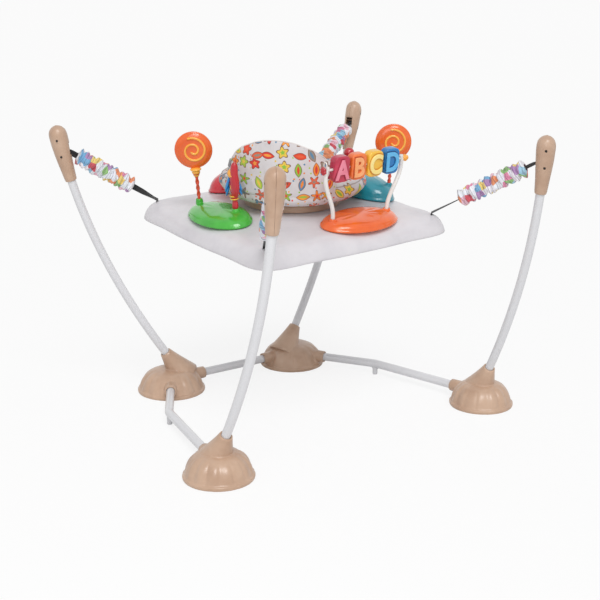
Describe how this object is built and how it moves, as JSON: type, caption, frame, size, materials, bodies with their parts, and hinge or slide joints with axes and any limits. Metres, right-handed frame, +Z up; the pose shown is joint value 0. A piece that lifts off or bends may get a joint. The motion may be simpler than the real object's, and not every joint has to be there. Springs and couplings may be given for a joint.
{
  "type": "baby jumper",
  "caption": "Baby jumper: padded swivel seat in a square toy tray, hung from posts of an open base by straps and gathered spring sleeves; one side is open.",
  "frame": {"origin": "floor level, centre of the overall box", "axes": "+Z up, -Y towards the open front of the base, +X to the right seen from the front"},
  "size_m": [1.0464, 0.9471, 0.7829],
  "materials": {
    "cream_plastic": "soft gloss",
    "crimson_plastic": "gloss",
    "white_tube": "gloss white paint",
    "tan_plastic": "satin moulded",
    "rose_plastic": "gloss",
    "apricot_plastic": "gloss",
    "yellow_plastic": "gloss",
    "blue_plastic": "gloss",
    "orange_plastic": "gloss",
    "black_webbing": "woven",
    "seat_fabric": "printed, padded",
    "sleeve_fabric": "printed, gathered",
    "spring_steel": "drawn wire",
    "black_plastic": "fine grain",
    "green_plastic": "gloss",
    "teal_plastic": "gloss",
    "tray_plastic": "soft gloss"
  },
  "bodies": {
    "frame": {"base_tube_left": "white_tube", "base_tube_rear": "white_tube", "base_tube_right": "white_tube", "cap_front_left_a": "tan_plastic", "cap_front_left_b": "tan_plastic", "cap_front_right_a": "tan_plastic", "cap_front_right_b": "tan_plastic", "cap_rear_left_a": "tan_plastic", "cap_rear_left_b": "tan_plastic", "cap_rear_right_a": "tan_plastic", "cap_rear_right_b": "tan_plastic", "foot_front_left": "tan_plastic", "foot_front_right": "tan_plastic", "foot_rear_left": "tan_plastic", "foot_rear_right": "tan_plastic", "post_front_left": "white_tube", "post_front_right": "white_tube", "post_rear_left": "white_tube", "post_rear_right": "white_tube", "sleeve_front_left": "sleeve_fabric", "sleeve_front_right": "sleeve_fabric", "sleeve_rear_left": "sleeve_fabric", "sleeve_rear_right": "sleeve_fabric", "spring_front_left": "spring_steel", "spring_front_right": "spring_steel", "spring_rear_left": "spring_steel", "spring_rear_right": "spring_steel", "upper_strap_front_left": "black_webbing", "upper_strap_front_right": "black_webbing", "upper_strap_rear_left": "black_webbing", "upper_strap_rear_right": "black_webbing"},
    "tray": {"arch_post_left": "cream_plastic", "arch_post_right": "cream_plastic", "letter_rod": "cream_plastic", "lollipop_stem_left": "crimson_plastic", "lollipop_stem_right": "crimson_plastic", "lower_strap_front_left": "black_webbing", "lower_strap_front_right": "black_webbing", "lower_strap_rear_left": "black_webbing", "lower_strap_rear_right": "black_webbing", "strap_buckle_front_left": "black_plastic", "strap_buckle_front_right": "black_plastic", "strap_buckle_rear_left": "black_plastic", "strap_buckle_rear_right": "black_plastic", "toy_base_crimson": "crimson_plastic", "toy_base_green": "green_plastic", "toy_base_orange": "orange_plastic", "toy_base_teal": "teal_plastic", "tray": "tray_plastic"},
    "seat": {"seat_ring": "tan_plastic", "seat_pad": "seat_fabric", "seat_bucket": "seat_fabric"},
    "disc_left": {"lollipop_disc_left": "orange_plastic"},
    "disc_right": {"lollipop_disc_right": "orange_plastic"},
    "bird": {"bird_figure": "crimson_plastic"},
    "ball": {"ball_toy": "crimson_plastic"},
    "tile_a": {"letter_tile_a": "rose_plastic"},
    "tile_b": {"letter_tile_b": "apricot_plastic"},
    "tile_c": {"letter_tile_c": "yellow_plastic"},
    "tile_d": {"letter_tile_d": "blue_plastic"}
  },
  "joints": [
    {"name": "bounce", "type": "slide", "parent": "frame", "child": "tray", "axis": [0, 0, 1], "range_m": [-0.12, 0.03], "stiffness_N_per_m": 2000, "springref_m": 0.0386, "deforming": ["spring_front_left", "sleeve_front_left", "spring_front_right", "sleeve_front_right", "spring_rear_left", "sleeve_rear_left", "spring_rear_right", "sleeve_rear_right"]},
    {"name": "seat_swivel", "type": "hinge", "parent": "tray", "child": "seat", "pos_m": [0, 0.07126, 0.56], "axis": [-0.0389, -0.062, 0.9973], "continuous": true},
    {"name": "left_disc_spin", "type": "hinge", "parent": "tray", "child": "disc_left", "pos_m": [-0.25164, 0.15732, 0.72958], "axis": [-0.1412, -0.0616, 0.9881], "continuous": true},
    {"name": "right_disc_spin", "type": "hinge", "parent": "tray", "child": "disc_right", "pos_m": [0.26368, -0.03178, 0.72928], "axis": [0.0637, -0.0616, 0.9961], "continuous": true},
    {"name": "bird_turn", "type": "hinge", "parent": "tray", "child": "bird", "pos_m": [-0.21078, 0.02363, 0.59277], "axis": [-0.1412, -0.0616, 0.9881], "continuous": true},
    {"name": "ball_turn", "type": "hinge", "parent": "tray", "child": "ball", "pos_m": [0.23088, 0.12703, 0.63911], "axis": [0.0637, -0.0616, 0.9961], "continuous": true},
    {"name": "tile_a_spin", "type": "hinge", "parent": "tray", "child": "tile_a", "pos_m": [-0.0433, -0.19299, 0.70785], "axis": [-0.9992, 0, -0.039], "continuous": true},
    {"name": "tile_b_spin", "type": "hinge", "parent": "tray", "child": "tile_b", "pos_m": [0.00966, -0.19299, 0.70991], "axis": [-0.9992, 0, -0.039], "continuous": true},
    {"name": "tile_c_spin", "type": "hinge", "parent": "tray", "child": "tile_c", "pos_m": [0.06262, -0.19299, 0.71198], "axis": [-0.9992, 0, -0.039], "continuous": true},
    {"name": "tile_d_spin", "type": "hinge", "parent": "tray", "child": "tile_d", "pos_m": [0.11558, -0.19299, 0.71405], "axis": [-0.9992, 0, -0.039], "continuous": true}
  ]
}
